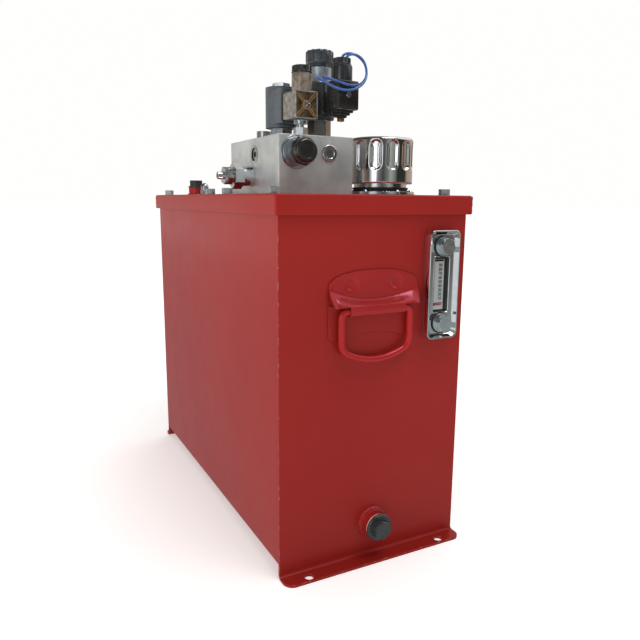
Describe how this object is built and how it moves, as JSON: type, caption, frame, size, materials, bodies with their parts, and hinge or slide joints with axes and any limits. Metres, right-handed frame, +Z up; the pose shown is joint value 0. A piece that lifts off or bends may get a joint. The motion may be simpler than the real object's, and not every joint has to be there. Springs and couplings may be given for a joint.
{
  "type": "hydraulic power unit",
  "caption": "Red sheet-steel oil tank on folded feet with a valve manifold, chrome filler breather, level gauge, drain and drop handles, and a submerged motor with gear pump.",
  "frame": {"origin": "centre of the four foot holes, on the floor plane", "axes": "+Z up; -Y is the front short face with the handle, level gauge and drain; +X is to the right seen from the front"},
  "size_m": [0.2148, 0.4602, 0.5124],
  "materials": {
    "red_paint": "semi-gloss enamel on sheet steel",
    "red_ring": "semi-gloss enamel on steel wire",
    "zinc": "bright zinc plate",
    "steel": "machined steel",
    "black_steel": "black oxide",
    "chrome": "polished",
    "block_aluminium": "fine milled",
    "motor_aluminium": "cast",
    "cast_pump": "machined casting",
    "stator_steel": "laminated",
    "gear_steel": "ground",
    "black_rubber": "matt",
    "white_seal": "smooth",
    "black_plastic": "gloss moulded",
    "knob_plastic": "satin moulded",
    "coil_grey": "satin overmould",
    "coil_black": "satin overmould",
    "smoke_plastic": "translucent smoked polycarbonate",
    "silver_sleeve": "satin",
    "scale_white": "printed plate",
    "clear_lens": "clear",
    "foam": "open-cell foam",
    "blue_wire": "smooth insulation"
  },
  "bodies": {
    "tank": {"tank_wrap": "red_paint", "front_end_plate": "red_paint", "rear_end_plate": "red_paint", "rim_frame": "red_paint", "lid": "red_paint", "lid_gasket": "black_rubber", "lid_fasteners": "zinc", "drain_boss": "red_paint", "gauge_housing": "chrome", "gauge_lens": "clear_lens", "gauge_scale": "scale_white", "gauge_fasteners": "zinc", "front_handle_plate": "red_paint", "rear_handle_plate": "red_paint", "breather_flange": "chrome", "breather_screws": "zinc", "breather_basket": "zinc", "lid_port_boss": "red_paint", "lid_port_plug": "black_steel", "cable_gland": "black_plastic", "manifold_block": "block_aluminium", "socket_screws": "black_steel", "block_plugs": "steel", "port_adapter": "zinc", "relief_valve": "zinc", "valve_a_tube": "zinc", "coil_a": "coil_grey", "coil_a_nut": "zinc", "plug_a": "smoke_plastic", "gland_a": "black_plastic", "valve_b_tube": "silver_sleeve", "coil_b": "coil_black", "plug_b": "black_plastic", "gland_b": "black_plastic", "blue_lead_1": "blue_wire", "blue_lead_2": "blue_wire", "motor_shell": "motor_aluminium", "motor_stator": "stator_steel", "motor_bearings": "gear_steel", "motor_end_bells": "motor_aluminium", "pump_body": "cast_pump", "pump_cover": "cast_pump", "suction_strainer": "zinc", "oil_pipes": "steel"},
    "front_ring": {"front_handle_ring": "red_ring"},
    "rear_ring": {"rear_handle_ring": "red_ring"},
    "drain_seal_ring": {"drain_seal": "white_seal"},
    "drain_plug": {"drain_plug": "black_steel"},
    "cap_core": {"breather_foam": "foam"},
    "cap_shell": {"breather_cap": "chrome"},
    "relief_nut": {"relief_lock_nut": "zinc"},
    "relief_spindle": {"relief_screw": "zinc"},
    "bleed": {"bleed_screw": "zinc"},
    "port_cover": {"port_cap": "black_plastic"},
    "override_knob": {"knob_b": "knob_plastic"},
    "plunger_a": {"valve_a_plunger": "steel"},
    "plunger_b": {"valve_b_plunger": "steel"},
    "rotor": {"motor_rotor": "gear_steel", "drive_gear": "gear_steel"},
    "driven": {"driven_gear": "gear_steel"}
  },
  "joints": [
    {"name": "front_handle_swing", "type": "hinge", "parent": "tank", "child": "front_ring", "pos_m": [-0.0045, -0.2165, 0.2565], "axis": [-1, 0, 0], "range_deg": [0, 90]},
    {"name": "rear_handle_swing", "type": "hinge", "parent": "tank", "child": "rear_ring", "pos_m": [0.0045, 0.2165, 0.2565], "axis": [1, 0, 0], "range_deg": [0, 90]},
    {"name": "drain_turn", "type": "hinge", "parent": "tank", "child": "drain_seal_ring", "pos_m": [0, -0.222, 0.036], "axis": [0, -1, 0], "range_deg": [0, 2160]},
    {"name": "drain_plug_out", "type": "slide", "parent": "drain_seal_ring", "child": "drain_plug", "axis": [0, -1, 0], "range_m": [0, 0.0112]},
    {"name": "breather_lift", "type": "slide", "parent": "tank", "child": "cap_core", "axis": [0, 0, 1], "range_m": [0, 0.035]},
    {"name": "breather_turn", "type": "hinge", "parent": "cap_core", "child": "cap_shell", "pos_m": [0.065, -0.109, 0.4], "axis": [0, 0, 1], "range_deg": [0, 60]},
    {"name": "relief_turn", "type": "hinge", "parent": "tank", "child": "relief_nut", "pos_m": [-0.087, -0.05, 0.3825], "axis": [-1, 0, 0], "range_deg": [-720, 720]},
    {"name": "relief_screw_travel", "type": "slide", "parent": "relief_nut", "child": "relief_spindle", "axis": [-1, 0, 0], "range_m": [-0.0022, 0.0022]},
    {"name": "bleed_turn", "type": "hinge", "parent": "tank", "child": "bleed", "pos_m": [-0.0338, -0.111, 0.425], "axis": [0, 0, 1], "range_deg": [0, 360]},
    {"name": "port_cap_pull", "type": "slide", "parent": "tank", "child": "port_cover", "axis": [0, -1, 0], "range_m": [0, 0.02]},
    {"name": "override_turn", "type": "hinge", "parent": "tank", "child": "override_knob", "pos_m": [0.0036, -0.08, 0.503], "axis": [0, 0, 1], "range_deg": [0, 270]},
    {"name": "plunger_a_stroke", "type": "slide", "parent": "tank", "child": "plunger_a", "axis": [0, 0, 1], "range_m": [0, 0.0015], "stiffness_N_per_m": 200, "springref_m": -0.002},
    {"name": "plunger_b_stroke", "type": "slide", "parent": "tank", "child": "plunger_b", "axis": [0, 0, 1], "range_m": [0, 0.0015], "stiffness_N_per_m": 200, "springref_m": -0.002},
    {"name": "rotor_spin", "type": "hinge", "parent": "tank", "child": "rotor", "pos_m": [0, -0.065, 0.105], "axis": [0, 1, 0], "continuous": true},
    {"name": "driven_gear_spin", "type": "hinge", "parent": "tank", "child": "driven", "pos_m": [0, 0.05, 0.075], "axis": [0, 1, 0], "continuous": true}
  ],
  "couplings": [
    {"joint": "drain_plug_out", "follows": "drain_turn", "m_per_rad": 0.00028871},
    {"joint": "relief_screw_travel", "follows": "relief_turn", "m_per_rad": 0.00015915},
    {"joint": "driven_gear_spin", "follows": "rotor_spin", "ratio": -1}
  ]
}
